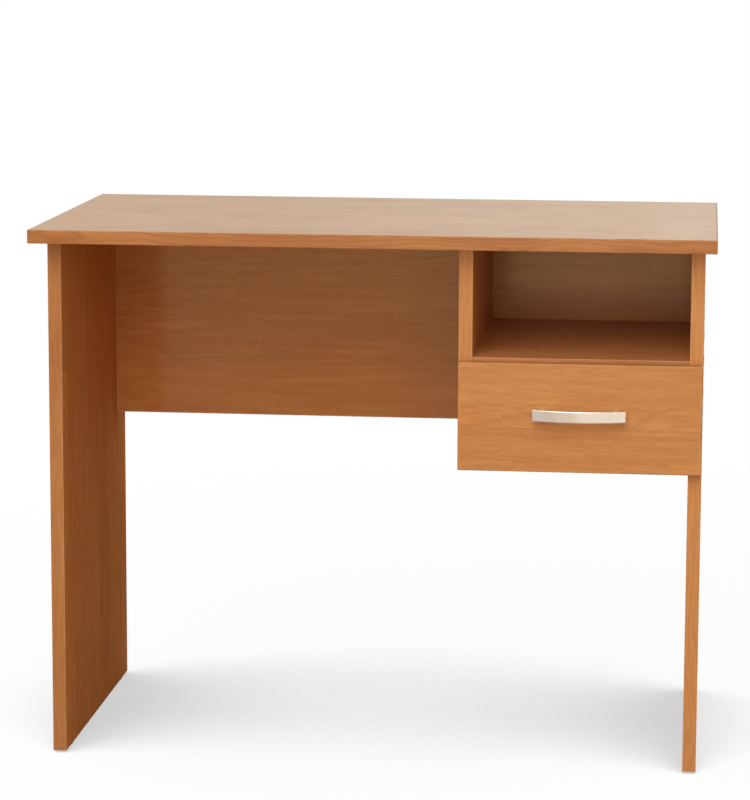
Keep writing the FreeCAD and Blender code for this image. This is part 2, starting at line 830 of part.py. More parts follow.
def bottom_screw_seats():
    """Seats of the screws from below the drawer bottom into the back."""
    columns = between(box_inner_left, box_inner_right, bottom_row_shares)
    return [(V(column, box_rear - box_board / 2, bottom_low), UP) for column in columns]


def bow_handle():
    """Bowed strap on two round posts, with a threaded bore in each post."""
    half = handle_centres / 2 + handle_end
    top = front_face - handle_reach
    radius = (half ** 2 + handle_sag ** 2) / (2 * handle_sag)
    inner_radius = radius - handle_strap
    inner_sag = inner_radius - math.sqrt(inner_radius ** 2 - half ** 2)
    low = handle_z - handle_height / 2
    outer = [V(handle_x - half, top + handle_sag, low), V(handle_x, top, low),
             V(handle_x + half, top + handle_sag, low)]
    inner_top = top + handle_strap
    inner = [V(handle_x + half, inner_top + inner_sag, low), V(handle_x, inner_top, low),
             V(handle_x - half, inner_top + inner_sag, low)]
    edges = [Part.Arc(*outer).toShape(), Part.LineSegment(outer[2], inner[0]).toShape(),
             Part.Arc(*inner).toShape(), Part.LineSegment(inner[2], outer[0]).toShape()]
    strap = Part.Face(Part.Wire(edges)).extrude(UP * handle_height)
    handle = strap.makeFillet(handle_round, strap.Edges)
    offset = handle_centres / 2
    post_length = handle_reach - handle_strap / 2 - radius + math.sqrt(radius ** 2 - offset ** 2)
    outline = [(0, 0), (post_foot_radius, 0), (post_radius, post_foot_height), (post_radius, post_length),
               (0, post_length)]
    for place in handle_places():
        handle = handle.fuse(turned(outline, place, FRONT))
    bore = handle_screw_radius + rivet_bore_clearance
    bores = [Part.makeCylinder(bore, post_bore_depth, place, FRONT) for place in handle_places()]
    return cut_all(handle, bores)


def handle_screws():
    """Machine screws from inside the box through both boards into the handle's posts."""
    rise = handle_screw_head_height
    rim = handle_screw_head_radius - handle_screw_head_bevel
    end = board + box_board + handle_screw_reach
    outline = [(0, -rise), (rim, -rise), (handle_screw_head_radius, handle_screw_head_bevel - rise),
               (handle_screw_head_radius, 0), (handle_screw_radius, 0), (handle_screw_radius, end), (0, end)]
    seats = [place + BACK * (board + box_board) for place in handle_places()]
    return Part.makeCompound([turned(outline, seat, FRONT).cut(
        cross_recess(seat + BACK * rise, FRONT, handle_screw_head_radius)) for seat in seats])


# One file for each sub-part

def write(node, shape):
    """One sub-part's file."""
    shape.exportStep(os.path.join("parts", node + ".step"))


os.makedirs("parts", exist_ok=True)
write("desktop", desktop())
write("desktop_edging", desktop_edging())
write("left_side", side_panel(left_outer, left_inner))
write("left_side_edging", side_edging(left_outer, left_inner))
write("right_side", side_panel(right_inner, right_outer))
write("right_side_edging", side_edging(right_inner, right_outer))
write("modesty_panel", modesty_panel())
write("modesty_edging", modesty_edging())
write("divider", divider())
write("divider_edging", divider_edging())
write("shelf", shelf())
write("shelf_edging", shelf_edging())
write("carcass_connectors", carcass_connectors())
write("cover_caps", cover_caps())
write("dowels", dowels())
write("brackets", brackets())
write("bracket_screws", wood_screws(bracket_screw_seats()))
write("glides", glides())
write("drawer_front", drawer_front())
write("drawer_front_edging", drawer_front_edging())
write("drawer_left_side", drawer_side(box_left, box_inner_left))
write("drawer_right_side", drawer_side(box_inner_right, box_right))
write("drawer_box_front", drawer_box_front())
write("drawer_back", drawer_back())
write("drawer_box_edging", drawer_box_edging())
write("drawer_bottom", drawer_bottom())
write("drawer_bottom_screws", wood_screws(bottom_screw_seats()))
write("box_connectors", box_connectors())
write("front_screws", front_screws())
write("bow_handle", bow_handle())
write("handle_screws", handle_screws())
for hand, wall, side in (("left", bay_left, 1), ("right", right_inner, -1)):
    write(hand + "_wall_rail", wall_rail(wall, side))
    write(hand + "_wall_rail_screws", wood_screws(wall_screw_seats(wall, side)))
    write(hand + "_wall_rivet", wall_rivet(wall, side))
    write(hand + "_wall_roller", wall_roller(wall, side))
    write(hand + "_box_rail", box_rail(wall, side))
    write(hand + "_box_rail_screws", wood_screws(box_screw_seats(wall, side)))
    write(hand + "_box_rivet", box_rivet(wall, side))
    write(hand + "_box_roller", box_roller(wall, side))
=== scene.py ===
import math

import bpy
from mathutils import Matrix, Vector


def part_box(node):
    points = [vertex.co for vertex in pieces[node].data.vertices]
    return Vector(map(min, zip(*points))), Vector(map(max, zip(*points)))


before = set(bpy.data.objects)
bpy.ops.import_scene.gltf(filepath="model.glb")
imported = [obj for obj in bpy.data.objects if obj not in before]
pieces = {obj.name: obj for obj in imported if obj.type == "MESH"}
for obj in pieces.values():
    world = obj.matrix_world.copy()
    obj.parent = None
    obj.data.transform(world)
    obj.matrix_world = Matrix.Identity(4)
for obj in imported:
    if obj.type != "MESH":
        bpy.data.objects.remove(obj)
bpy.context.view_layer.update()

# Left and right sides: slabs of 18 mm chipboard that carry the desk from the floor to the top.
# The faces are melamine paper printed with narrow alder planks, pressed on with a satin plate, grain upright.
# Each is sawn to size and drilled for its connector screws, dowels and runners.

WIDE, DEEP, HIGH = 0, 1, 2


def put(tree, kind, inputs=(), **settings):
    """Places a shader node, with its inputs linked or set by name or number."""
    placed = tree.nodes.new("ShaderNode" + kind)
    for name, value in settings.items():
        setattr(placed, name, value)
    for key, value in dict(inputs).items():
        if isinstance(value, bpy.types.NodeSocket):
            tree.links.new(value, placed.inputs[key])
        else:
            placed.inputs[key].default_value = value
    return placed


def reckon(tree, operation, *values):
    """One sum with shader values."""
    return put(tree, "Math", enumerate(values), operation=operation).outputs[0]


def times(tree, value, factor):
    """A shader value multiplied by another or by a number."""
    return reckon(tree, "MULTIPLY", value, factor)


def spread(tree, value, low, high, start=0.0, end=1.0):
    """Spreads a value's stretch from low to high over start to end, and holds it there."""
    return put(tree, "MapRange", {0: value, 1: low, 2: high, 3: start, 4: end}).outputs[0]


def lay_over(tree, amount, under, over):
    """Lays one colour over another by an amount."""
    return put(tree, "Mix", {0: amount, 6: under, 7: over}, data_type="RGBA").outputs[2]


def build_up(tree, colour, *layers):
    """Lays colours over a first one in turn, each by its own amount."""
    for amount, over in layers:
        colour = lay_over(tree, amount, colour, over)
    return colour


def speckle(tree, place, scale, detail, coarseness=0.5):
    """Noise of one scale in all directions."""
    return put(tree, "TexNoise", {"Vector": place, "Scale": scale, "Detail": detail,
                                  "Roughness": coarseness}).outputs[0]


def mottle(tree, parts, marks, detail=2.0, coarseness=0.5):
    """Noise with so many marks to the metre along each of three shader values."""
    scaled = [times(tree, part, count) for part, count in zip(parts, marks)]
    place = put(tree, "CombineXYZ", enumerate(scaled)).outputs[0]
    return speckle(tree, place, 1.0, detail, coarseness)


def open_group(name, inputs, outputs):
    """Starts a shader node group with named sockets, and gives its tree, inputs and outputs."""
    tree = bpy.data.node_groups.new(name, "ShaderNodeTree")
    for label, kind in inputs:
        tree.interface.new_socket(label, in_out="INPUT", socket_type="NodeSocket" + kind)
    for label, kind in outputs:
        tree.interface.new_socket(label, in_out="OUTPUT", socket_type="NodeSocket" + kind)
    return tree, tree.nodes.new("NodeGroupInput").outputs, tree.nodes.new("NodeGroupOutput").inputs


def close_group(tree, result, **values):
    """Links what a group puts out."""
    for label, value in values.items():
        tree.links.new(value, result[label])


alder_print, given, result = open_group(
    "alder_print",
    (("Along", "Float"), ("Across", "Float"), ("Strip Shift", "Float"), ("Plank Shift", "Float")),
    (("Colour", "Color"), ("Roughness", "Float"), ("Height", "Float")))
along, across = given["Along"], given["Across"]
strip_widths = (0.074, 0.068, 0.077, 0.076, 0.045, 0.031, 0.058)
strip_tones = (0.42, 0.72, 0.5, 0.35, 0.62, 0.3, 0.5)
print_repeat = sum(strip_widths)
joint_width = 0.0008
across_print = reckon(alder_print, "ADD", across, given["Strip Shift"])


def printed_strip_at(offset):
    """Tone and number of the printed strip at a place across the board."""
    place = reckon(alder_print, "ADD", across_print, offset)
    place = reckon(alder_print, "FRACT", reckon(alder_print, "DIVIDE", place, print_repeat))
    steps = put(alder_print, "ValToRGB", {0: place})
    steps.color_ramp.interpolation = "CONSTANT"
    edges = steps.color_ramp.elements
    edges.remove(edges[1])
    edges[0].position = 0.0
    edges[0].color = (strip_tones[0], 0.0, 0.0, 1.0)
    reached = 0.0
    for number in range(1, len(strip_widths)):
        reached += strip_widths[number - 1]
        edges.new(reached / print_repeat).color = (strip_tones[number], number / len(strip_widths), 0.0, 1.0)
    parts = put(alder_print, "SeparateColor", {0: steps.outputs[0]}).outputs
    return parts[0], parts[1]


strip_tone, strip_number = printed_strip_at(0.0)
next_number = printed_strip_at(joint_width)[1]
number_step = reckon(alder_print, "ABSOLUTE", reckon(alder_print, "SUBTRACT", strip_number, next_number))
strip_line = reckon(alder_print, "GREATER_THAN", number_step, 0.01)

plank_length = 0.24
butt_reach = 0.0022
along_print = reckon(alder_print, "ADD", along, given["Plank Shift"])
strip_stagger = times(alder_print, strip_number, 37.7)
plank_place = reckon(alder_print, "MULTIPLY_ADD", along_print, 1 / plank_length, strip_stagger)
plank_ends = {"W": plank_place, "Scale": 1.0, "Randomness": 0.7}
plank = put(alder_print, "TexVoronoi", plank_ends, voronoi_dimensions="1D").outputs["Color"]
plank_tone, plank_figure, plank_redness = put(alder_print, "SeparateColor", {0: plank}).outputs
from_butt = put(alder_print, "TexVoronoi", plank_ends, voronoi_dimensions="1D",
                feature="DISTANCE_TO_EDGE").outputs["Distance"]
butt_line = reckon(alder_print, "LESS_THAN", from_butt, butt_reach)
joint_line = reckon(alder_print, "MAXIMUM", strip_line, times(alder_print, butt_line, 0.8))

seed = reckon(alder_print, "MULTIPLY_ADD", plank_figure, 40.0, times(alder_print, strip_number, 119.0))
dark_dash_seed = reckon(alder_print, "ADD", seed, 7.0)
light_dash_seed = reckon(alder_print, "ADD", seed, 19.0)
flame_seed = reckon(alder_print, "ADD", seed, 31.0)
fibre = mottle(alder_print, (along, across, seed), (30.0, 760.0, 1.0), 3.0, 0.6)
dark_dash = mottle(alder_print, (along, across, dark_dash_seed), (62.0, 1200.0, 1.0), 1.0)
light_dash = mottle(alder_print, (along, across, light_dash_seed), (62.0, 1200.0, 1.0), 1.0)
cloud = mottle(alder_print, (along, across, seed), (4.2, 21.0, 1.0))
flame = mottle(alder_print, (along, across, flame_seed), (8.0, 110.0, 1.0))
smears = mottle(alder_print, (along, across, 3.0), (11.0, 16.0, 1.0), 3.0)
rings = reckon(alder_print, "MULTIPLY_ADD", cloud, 42.0, times(alder_print, across, 230.0))
rings = spread(alder_print, reckon(alder_print, "SINE", rings), 0.0, 1.0)
ring_dark = times(alder_print, rings, spread(alder_print, plank_figure, 0.35, 0.8, 0.03, 0.2))
fibre_dark = spread(alder_print, fibre, 0.44, 0.74)
dash_start = reckon(alder_print, "MULTIPLY_ADD", plank_redness, 0.1, 0.52)
pore_dark = spread(alder_print, dark_dash, dash_start, 0.75)
pore_light = spread(alder_print, light_dash, dash_start, 0.75)

tone = reckon(alder_print, "MULTIPLY_ADD", plank_tone, 0.32, times(alder_print, strip_tone, 0.52))
tone = reckon(alder_print, "MULTIPLY_ADD", cloud, 0.45, reckon(alder_print, "ADD", tone, -0.16))
pale_ink = (0.68, 0.296, 0.094, 1)
deep_ink = (0.48, 0.177, 0.047, 1)
red_ink = (0.6, 0.208, 0.056, 1)
flame_ink = (0.72, 0.345, 0.124, 1)
shade_ink = (0.46, 0.152, 0.038, 1)
fibre_ink = (0.34, 0.108, 0.027, 1)
light_pore_ink = (0.8, 0.43, 0.175, 1)
dark_pore_ink = (0.24, 0.07, 0.017, 1)
joint_ink = (0.25, 0.075, 0.019, 1)
colour = build_up(
    alder_print, pale_ink,
    (tone, deep_ink),
    (spread(alder_print, plank_redness, 0.55, 1.0, 0.0, 0.35), red_ink),
    (spread(alder_print, flame, 0.5, 0.72, 0.0, 0.36), flame_ink),
    (spread(alder_print, flame, 0.5, 0.3, 0.0, 0.27), shade_ink),
    (ring_dark, fibre_ink),
    (times(alder_print, fibre_dark, 0.2), fibre_ink),
    (times(alder_print, pore_light, 0.24), light_pore_ink),
    (times(alder_print, pore_dark, 0.27), dark_pore_ink),
    (times(alder_print, joint_line, 0.1), joint_ink))
satin = spread(alder_print, smears, 0.35, 0.7, 0.33, 0.4)
satin = reckon(alder_print, "MULTIPLY_ADD", fibre_dark, 0.05, satin)
satin = reckon(alder_print, "MULTIPLY_ADD", pore_dark, 0.1, satin)
pressed = reckon(alder_print, "MULTIPLY_ADD", pore_dark, -0.7, times(alder_print, fibre_dark, -0.3))
pressed = reckon(alder_print, "MULTIPLY_ADD", joint_line, -0.12, pressed)
close_group(alder_print, result, Colour=colour, Roughness=satin, Height=pressed)

raw_chipboard, given, result = open_group("raw_chipboard", (("Position", "Vector"),),
                                          (("Colour", "Color"), ("Height", "Float")))
flakes = put(raw_chipboard, "TexVoronoi", {"Vector": given["Position"], "Scale": 620.0}).outputs
flake_tone, bark = put(raw_chipboard, "SeparateColor", {0: flakes["Color"]}).outputs[:2]
dust = speckle(raw_chipboard, given["Position"], 1900.0, 3.0)
colour = build_up(
    raw_chipboard, (0.34, 0.215, 0.115, 1),
    (flake_tone, (0.53, 0.385, 0.235, 1)),
    (spread(raw_chipboard, bark, 0.8, 0.9, 0.0, 0.6), (0.16, 0.083, 0.038, 1)),
    (spread(raw_chipboard, dust, 0.5, 0.8, 0.0, 0.4), (0.2, 0.12, 0.06, 1)))
crumbs = reckon(raw_chipboard, "SUBTRACT", flakes["Distance"], dust)
close_group(raw_chipboard, result, Colour=colour, Height=crumbs)

arris_wear, given, result = open_group(
    "arris_wear", (("Position", "Vector"), ("Low", "Vector"), ("High", "Vector"), ("Width", "Float")),
    (("Mask", "Float"),))
from_low = put(arris_wear, "VectorMath", {0: given["Position"], 1: given["Low"]}, operation="SUBTRACT")
from_high = put(arris_wear, "VectorMath", {0: given["High"], 1: given["Position"]}, operation="SUBTRACT")
nearest = put(arris_wear, "VectorMath", {0: from_low.outputs[0], 1: from_high.outputs[0]},
              operation="MINIMUM")
x, y, z = put(arris_wear, "SeparateXYZ", {0: nearest.outputs[0]}).outputs
second_nearest = reckon(arris_wear, "MINIMUM", reckon(arris_wear, "MAXIMUM", x, y), z)
second_nearest = reckon(arris_wear, "MAXIMUM", reckon(arris_wear, "MINIMUM", x, y), second_nearest)
rubbing = speckle(arris_wear, given["Position"], 55.0, 5.0, 0.65)
reach = times(arris_wear, given["Width"], spread(arris_wear, rubbing, 0.35, 0.7, 0.15, 1.0))
unworn = reckon(arris_wear, "SMOOTH_MIN", reckon(arris_wear, "DIVIDE", second_nearest, reach), 1.0, 0.2)
close_group(arris_wear, result, Mask=reckon(arris_wear, "SUBTRACT", 1.0, unworn))


def start_material(name):
    """An empty material with its Principled shader, and the object's own coordinates."""
    material = bpy.data.materials.new(name)
    material.use_nodes = True
    tree = material.node_tree
    shader = tree.nodes["Principled BSDF"]
    return material, tree, shader, put(tree, "TexCoord").outputs


def connect(tree, shader, colour, roughness, height, depth):
    """Feeds a shader its colour and roughness, and its surface by a bump of a depth in metres."""
    tree.links.new(colour, shader.inputs["Base Color"])
    tree.links.new(roughness, shader.inputs["Roughness"])
    bump = put(tree, "Bump", {"Height": height, "Distance": depth, "Strength": 1.0})
    tree.links.new(bump.outputs[0], shader.inputs["Normal"])


def dress(node, material):
    """Gives a CAD node its material."""
    pieces[node].data.materials.clear()
    pieces[node].data.materials.append(material)


def worn_arrises(tree, node, position, width):
    """A mask of a node's arrises, rubbed over a width in metres."""
    low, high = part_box(node)
    return put(tree, "Group", {"Position": position, "Low": low, "High": high, "Width": width},
               node_tree=arris_wear).outputs["Mask"]


def face_board(node, along, across, through, strip_shift, plank_shift, gloss=0.2, dullness=0.08,
               tint_and_painted_shade=(1.0, 1.0, 1.0, 1), tinted_face_sign=1.0, overlay=0.0, relief=0.00004):
    """Printed faces and raw chipboard edges for one board, whose grain and thickness follow its axes.

    The tint multiplies the paper's colour on one face: on the left side and the modesty panel it is painted
    shade, and on the desktop a warmer tint. That face looks along the axis through the board, or against it
    where the facing sign is -1, and an overlay gives it a smooth gloss.
    """
    material, tree, shader, coordinates = start_material(node + "_laminate")
    place = put(tree, "SeparateXYZ", {0: coordinates["Object"]}).outputs
    facing = put(tree, "SeparateXYZ", {0: coordinates["Normal"]}).outputs[through]
    face = put(tree, "Group", {"Along": place[along], "Across": place[across], "Strip Shift": strip_shift,
                               "Plank Shift": plank_shift}, node_tree=alder_print).outputs
    edge = put(tree, "Group", {"Position": coordinates["Object"]}, node_tree=raw_chipboard).outputs
    rubbed = worn_arrises(tree, node, coordinates["Object"], 0.0025)
    raw = reckon(tree, "LESS_THAN", reckon(tree, "ABSOLUTE", facing), 0.5)
    tinted_face = reckon(tree, "GREATER_THAN", times(tree, facing, tinted_face_sign), 0.5)
    # Painted shade: the tint darkens and reddens the paper on the left side's inner face and the modesty
    # panel's front.
    paper = put(tree, "Mix", {0: tinted_face, 6: face["Colour"], 7: tint_and_painted_shade}, data_type="RGBA",
                blend_type="MULTIPLY").outputs[2]
    colour = build_up(tree, paper, (times(tree, rubbed, 0.3), (0.72, 0.38, 0.17, 1)), (raw, edge["Colour"]))
    roughness = reckon(tree, "MULTIPLY_ADD", raw, 0.3, dullness)
    roughness = reckon(tree, "ADD", roughness, face["Roughness"])
    height = put(tree, "Mix", {0: raw, 2: face["Height"], 3: edge["Height"]}).outputs[0]
    connect(tree, shader, colour, roughness, height, relief)
    shader.inputs["Specular IOR Level"].default_value = gloss
    if overlay:
        tree.links.new(times(tree, tinted_face, overlay), shader.inputs["Coat Weight"])
        shader.inputs["Coat Roughness"].default_value = 0.14
        shader.inputs["Coat IOR"].default_value = 1.7
    dress(node, material)


# The left side's inner face carries a darker, redder tint: painted shade of the kneehole.
face_board("left_side", along=HIGH, across=DEEP, through=WIDE, strip_shift=0.03, plank_shift=0.11,
           gloss=0.02, dullness=0.3, tint_and_painted_shade=(0.93, 0.84, 0.72, 1))
face_board("right_side", along=HIGH, across=DEEP, through=WIDE, strip_shift=0.19, plank_shift=0.37,
           gloss=0.12, dullness=0.16)

# Strips on the sides: 1 mm melamine tape, ironed on along the front and rear edges of each side.
# The print is a wavy long grain, a little redder than the faces, and the arrises are eased by hand.

ironed_tape = 0.001
hand_eased = 0.0004
printed_tape, given, result = open_group(
    "printed_tape",
    (("Along", "Float"), ("Across", "Float"), ("Seed", "Float"), ("Paleness With Painted Light", "Float"), ("Figure", "Float")),
    (("Colour", "Color"), ("Roughness", "Float"), ("Height", "Float")))
tape_place = (given["Along"], given["Across"], given["Seed"])
drift = mottle(printed_tape, tape_place, (6.5, 30.0, 1.0))
fibre = mottle(printed_tape, tape_place, (30.0, 1700.0, 1.0), 3.0, 0.6)
wave = reckon(printed_tape, "MULTIPLY_ADD", drift, 38.0, times(printed_tape, given["Across"], 900.0))
wave_dark = spread(printed_tape, reckon(printed_tape, "SINE", wave), -0.2, 1.0)
fibre_dark = spread(printed_tape, fibre, 0.45, 0.75)
# The paleness, set for each part, pales the tape toward a lighter ink: partly the tape's own tone, partly
# painted light where more light and sheen fell on that edge.
colour = build_up(
    printed_tape, (0.52, 0.213, 0.07, 1),
    (spread(printed_tape, drift, 0.35, 0.65), (0.42, 0.155, 0.045, 1)),
    (given["Paleness With Painted Light"], (0.68, 0.29, 0.094, 1)),
    (times(printed_tape, wave_dark, given["Figure"]), (0.34, 0.112, 0.03, 1)),
    (times(printed_tape, fibre_dark, 0.3), (0.3, 0.096, 0.025, 1)))
close_group(printed_tape, result, Colour=colour,
            Roughness=reckon(printed_tape, "MULTIPLY_ADD", fibre_dark, 0.08, 0.32),
            Height=times(printed_tape, fibre_dark, -1.0))


def tape_edge(node, along, across, seed, paleness_with_painted_light, ease=0.0, end_strips=None, figure=0.2):
    """Printed tape on a board's edges, with its sharp arrises eased by a width in metres.

    End strips lie at both ends of an axis, within a reach, and have a grain of their own along and across.
    """
    material, tree, shader, coordinates = start_material(node + "_tape")
    place = put(tree, "SeparateXYZ", {0: coordinates["Object"]}).outputs
    lengthwise, crosswise = place[along], place[across]
    if end_strips:
        axis, reach, end_along, end_across = end_strips
        low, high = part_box(node)
        from_end = reckon(tree, "MINIMUM", reckon(tree, "SUBTRACT", place[axis], low[axis]),
                          reckon(tree, "SUBTRACT", high[axis], place[axis]))
        just_past = 0.00001
        at_end = reckon(tree, "LESS_THAN", from_end, reach + just_past)
        lengthwise = put(tree, "Mix", {0: at_end, 2: lengthwise, 3: place[end_along]}).outputs[0]
        crosswise = put(tree, "Mix", {0: at_end, 2: crosswise, 3: place[end_across]}).outputs[0]
    tape = put(tree, "Group", {"Along": lengthwise, "Across": crosswise, "Seed": seed,
                               "Paleness With Painted Light": paleness_with_painted_light, "Figure": figure}, node_tree=printed_tape).outputs
    rubbed = worn_arrises(tree, node, coordinates["Object"], 0.0022)
    colour = lay_over(tree, times(tree, rubbed, 0.45), tape["Colour"], (0.78, 0.44, 0.22, 1))
    roughness = reckon(tree, "MULTIPLY_ADD", rubbed, -0.06, tape["Roughness"])
    connect(tree, shader, colour, roughness, tape["Height"], 0.00005)
    shader.inputs["Specular IOR Level"].default_value = 0.25
    dress(node, material)
    if ease:
        weld = pieces[node].modifiers.new("weld", "WELD")
        weld.merge_threshold = 0.00001
        bevel = pieces[node].modifiers.new("eased", "BEVEL")
        bevel.width = ease
        bevel.segments = 2
        bevel.limit_method = "ANGLE"


# The right side's tape is much paler than the left's, and the divider's too: painted light.
tape_edge("left_side_edging", along=HIGH, across=WIDE, seed=1.0, paleness_with_painted_light=0.1, ease=hand_eased)
tape_edge("right_side_edging", along=HIGH, across=WIDE, seed=5.0, paleness_with_painted_light=0.9, ease=hand_eased)

# Modesty panel: one board between the sides, which stiffens the desk and closes the back of the niche.
# It is printed chipboard with the grain lying, and its front is darkened and reddened as painted shade, under
# a glossy overlay.
# Connector screws hold it through the sides, and its lower edge has the same ironed tape.

# Painted shade: the front face's paper is multiplied darker and redder by its tint.
face_board("modesty_panel", along=WIDE, across=HIGH, through=DEEP, strip_shift=-0.408, plank_shift=0.036,
           gloss=0.1, dullness=0.2, tint_and_painted_shade=(0.8, 0.67, 0.53, 1), tinted_face_sign=-1.0, overlay=1.0)
tape_edge("modesty_edging", along=WIDE, across=DEEP, seed=9.0, paleness_with_painted_light=0.2, ease=hand_eased)

# Divider and shelf: the inner wall of the drawer bay and the floor of the open niche.
# Both are printed chipboard with taped front edges, held by connector screws from the back and the sides.

face_board("divider", along=HIGH, across=DEEP, through=WIDE, strip_shift=0.27, plank_shift=0.05)
tape_edge("divider_edging", along=HIGH, across=WIDE, seed=13.0, paleness_with_painted_light=0.75, ease=hand_eased,
          end_strips=(HIGH, ironed_tape, DEEP, WIDE))
face_board("shelf", along=WIDE, across=DEEP, through=HIGH, strip_shift=0.34, plank_shift=0.18)
tape_edge("shelf_edging", along=WIDE, across=HIGH, seed=17.0, paleness_with_painted_light=0.3, ease=hand_eased)

# Desktop: one board that overhangs the sides and the front, held from below by brackets and dowels.
# Its upper paper has a thin clear overlay against wear, pressed on with a smoother plate.
# Its edges have a thicker strip, 2 mm, glued on and rounded over by a router.

thick_strip = 0.002
face_board("desktop", along=WIDE, across=DEEP, through=HIGH, strip_shift=0.31, plank_shift=0.42,
           gloss=0.75, dullness=-0.06, tint_and_painted_shade=(1.06, 1.0, 0.93, 1), overlay=0.3, relief=0.000012)
tape_edge("desktop_edging", along=WIDE, across=HIGH, seed=21.0, paleness_with_painted_light=0.0,
          end_strips=(WIDE, thick_strip, DEEP, HIGH), figure=0.42)

# Connector screws: zinc-plated steel with a socket head, driven through one board into the end of the next.
# The plate is a bright passivated zinc with a faint yellow and blue bloom.

zinc_plate, given, result = open_group(
    "zinc_plate", (("Position", "Vector"),),
    (("Colour", "Color"), ("Roughness", "Float"), ("Height", "Float")))
bloom = speckle(zinc_plate, given["Position"], 140.0, 3.0)
spangle = put(zinc_plate, "TexVoronoi", {"Vector": given["Position"], "Scale": 900.0}).outputs["Distance"]
scuff = speckle(zinc_plate, given["Position"], 2600.0, 4.0)
colour = build_up(
    zinc_plate, (0.6, 0.61, 0.64, 1),
    (spread(zinc_plate, bloom, 0.35, 0.65), (0.68, 0.63, 0.52, 1)),
    (spread(zinc_plate, scuff, 0.55, 0.8, 0.0, 0.5), (0.36, 0.35, 0.33, 1)))
close_group(zinc_plate, result, Colour=colour, Roughness=spread(zinc_plate, scuff, 0.3, 0.7, 0.24, 0.42),
            Height=reckon(zinc_plate, "ADD", spangle, scuff))

bright_zinc, tree, shader, coordinates = start_material("bright_zinc")
plate = put(tree, "Group", {"Position": coordinates["Object"]}, node_tree=zinc_plate).outputs
connect(tree, shader, plate["Colour"], plate["Roughness"], plate["Height"], 0.00002)
shader.inputs["Metallic"].default_value = 1.0
dress("carcass_connectors", bright_zinc)

# Cover caps: small domed discs of moulded plastic in the boards' colour.
# Each is pressed with a plug into the socket of a connector head, on the outer faces of the desk.

moulded_plastic, given, result = open_group(
    "moulded_plastic", (("Position", "Vector"), ("Light", "Color"), ("Dark", "Color"), ("Dullness", "Float")),
    (("Colour", "Color"), ("Roughness", "Float"), ("Height", "Float")))
flow = speckle(moulded_plastic, given["Position"], 90.0, 2.0)
mould_texture = speckle(moulded_plastic, given["Position"], 3200.0, 2.0)
colour = lay_over(moulded_plastic, spread(moulded_plastic, flow, 0.35, 0.65), given["Light"], given["Dark"])
close_group(moulded_plastic, result, Colour=colour,
            Roughness=reckon(moulded_plastic, "MULTIPLY_ADD", mould_texture, 0.16, given["Dullness"]),
            Height=mould_texture)


def mould(name, light, dark, dullness, gloss=0.3):
    """A moulded plastic between two close colours."""
    material, tree, shader, coordinates = start_material(name)
    plastic = put(tree, "Group", {"Position": coordinates["Object"], "Light": light, "Dark": dark,
                                  "Dullness": dullness}, node_tree=moulded_plastic).outputs
    connect(tree, shader, plastic["Colour"], plastic["Roughness"], plastic["Height"], 0.00003)
    shader.inputs["Specular IOR Level"].default_value = gloss
    return material


dress("cover_caps", mould("alder_plastic", (0.52, 0.2, 0.062, 1), (0.46, 0.17, 0.05, 1), 0.4, 0.1))

# Dowels: turned beech pins with bevelled ends, glued into the sides and the divider.
# They locate the desktop and are out of sight once it is on.

raw_beech, tree, shader, coordinates = start_material("raw_beech")
place = put(tree, "SeparateXYZ", {0: coordinates["Object"]}).outputs
flecks = mottle(tree, place, (1300.0, 1300.0, 190.0), 3.0)
colour = lay_over(tree, spread(tree, flecks, 0.4, 0.7), (0.66, 0.48, 0.3, 1), (0.5, 0.33, 0.18, 1))
connect(tree, shader, colour, spread(tree, flecks, 0.3, 0.7, 0.55, 0.7), flecks, 0.00005)
dress("dowels", raw_beech)

# Angle brackets and their screws: folded steel straps, zinc plated, in the corners under the desktop.
# Two pan-head screws each hold the desktop down on the sides, the divider and the modesty panel.

dress("brackets", bright_zinc)
dress("bracket_screws", bright_zinc)

# Glides: dark plastic discs nailed into the lower ends of the sides.
# They keep the raw edge of the board off the floor, and their feet are rubbed dull.

dress("glides", mould("glide_plastic", (0.115, 0.062, 0.034, 1), (0.085, 0.045, 0.024, 1), 0.42))

# Wall rails: folded strips of 1.2 mm steel with a cream powder coat, screwed to the bay's walls.
# The box roller runs on the lower flange, and there the coat is rubbed to a grey streak.

wall_track = 0.42495
powder_coat, given, result = open_group(
    "powder_coat", (("Position", "Vector"), ("Rub", "Float")),
    (("Colour", "Color"), ("Roughness", "Float"), ("Height", "Float")))
peel = speckle(powder_coat, given["Position"], 1100.0, 1.0)
grime = speckle(powder_coat, given["Position"], 60.0, 4.0)
colour = build_up(
    powder_coat, (0.79, 0.76, 0.69, 1),
    (spread(powder_coat, grime, 0.45, 0.75, 0.0, 0.5), (0.68, 0.64, 0.56, 1)),
    (given["Rub"], (0.42, 0.41, 0.39, 1)))
close_group(powder_coat, result, Colour=colour, Roughness=spread(powder_coat, grime, 0.3, 0.7, 0.3, 0.42),
            Height=peel)


def coat_rail(node, track):
    """Cream coat for a rail, rubbed grey along the height in metres where a roller runs."""
    material, tree, shader, coordinates = start_material(node + "_coat")
    height = put(tree, "SeparateXYZ", {0: coordinates["Object"]}).outputs[HIGH]
    off_track = reckon(tree, "ABSOLUTE", reckon(tree, "SUBTRACT", height, track))
    streaks = speckle(tree, coordinates["Object"], 240.0, 4.0)
    rub = times(tree, spread(tree, off_track, 0.0001, 0.0004, 0.5, 0.0), spread(tree, streaks, 0.4, 0.6))
    coat = put(tree, "Group", {"Position": coordinates["Object"], "Rub": rub}, node_tree=powder_coat).outputs
    connect(tree, shader, coat["Colour"], coat["Roughness"], coat["Height"], 0.00003)
    dress(node, material)


for hand in ("left", "right"):
    coat_rail(hand + "_wall_rail", wall_track)
    dress(hand + "_wall_rail_screws", bright_zinc)

# Rollers and rivets: moulded nylon wheels, at the front of each wall rail and at the rear of each box rail.
# Each turns on a shouldered steel rivet, and its rim is dulled by dust and running.

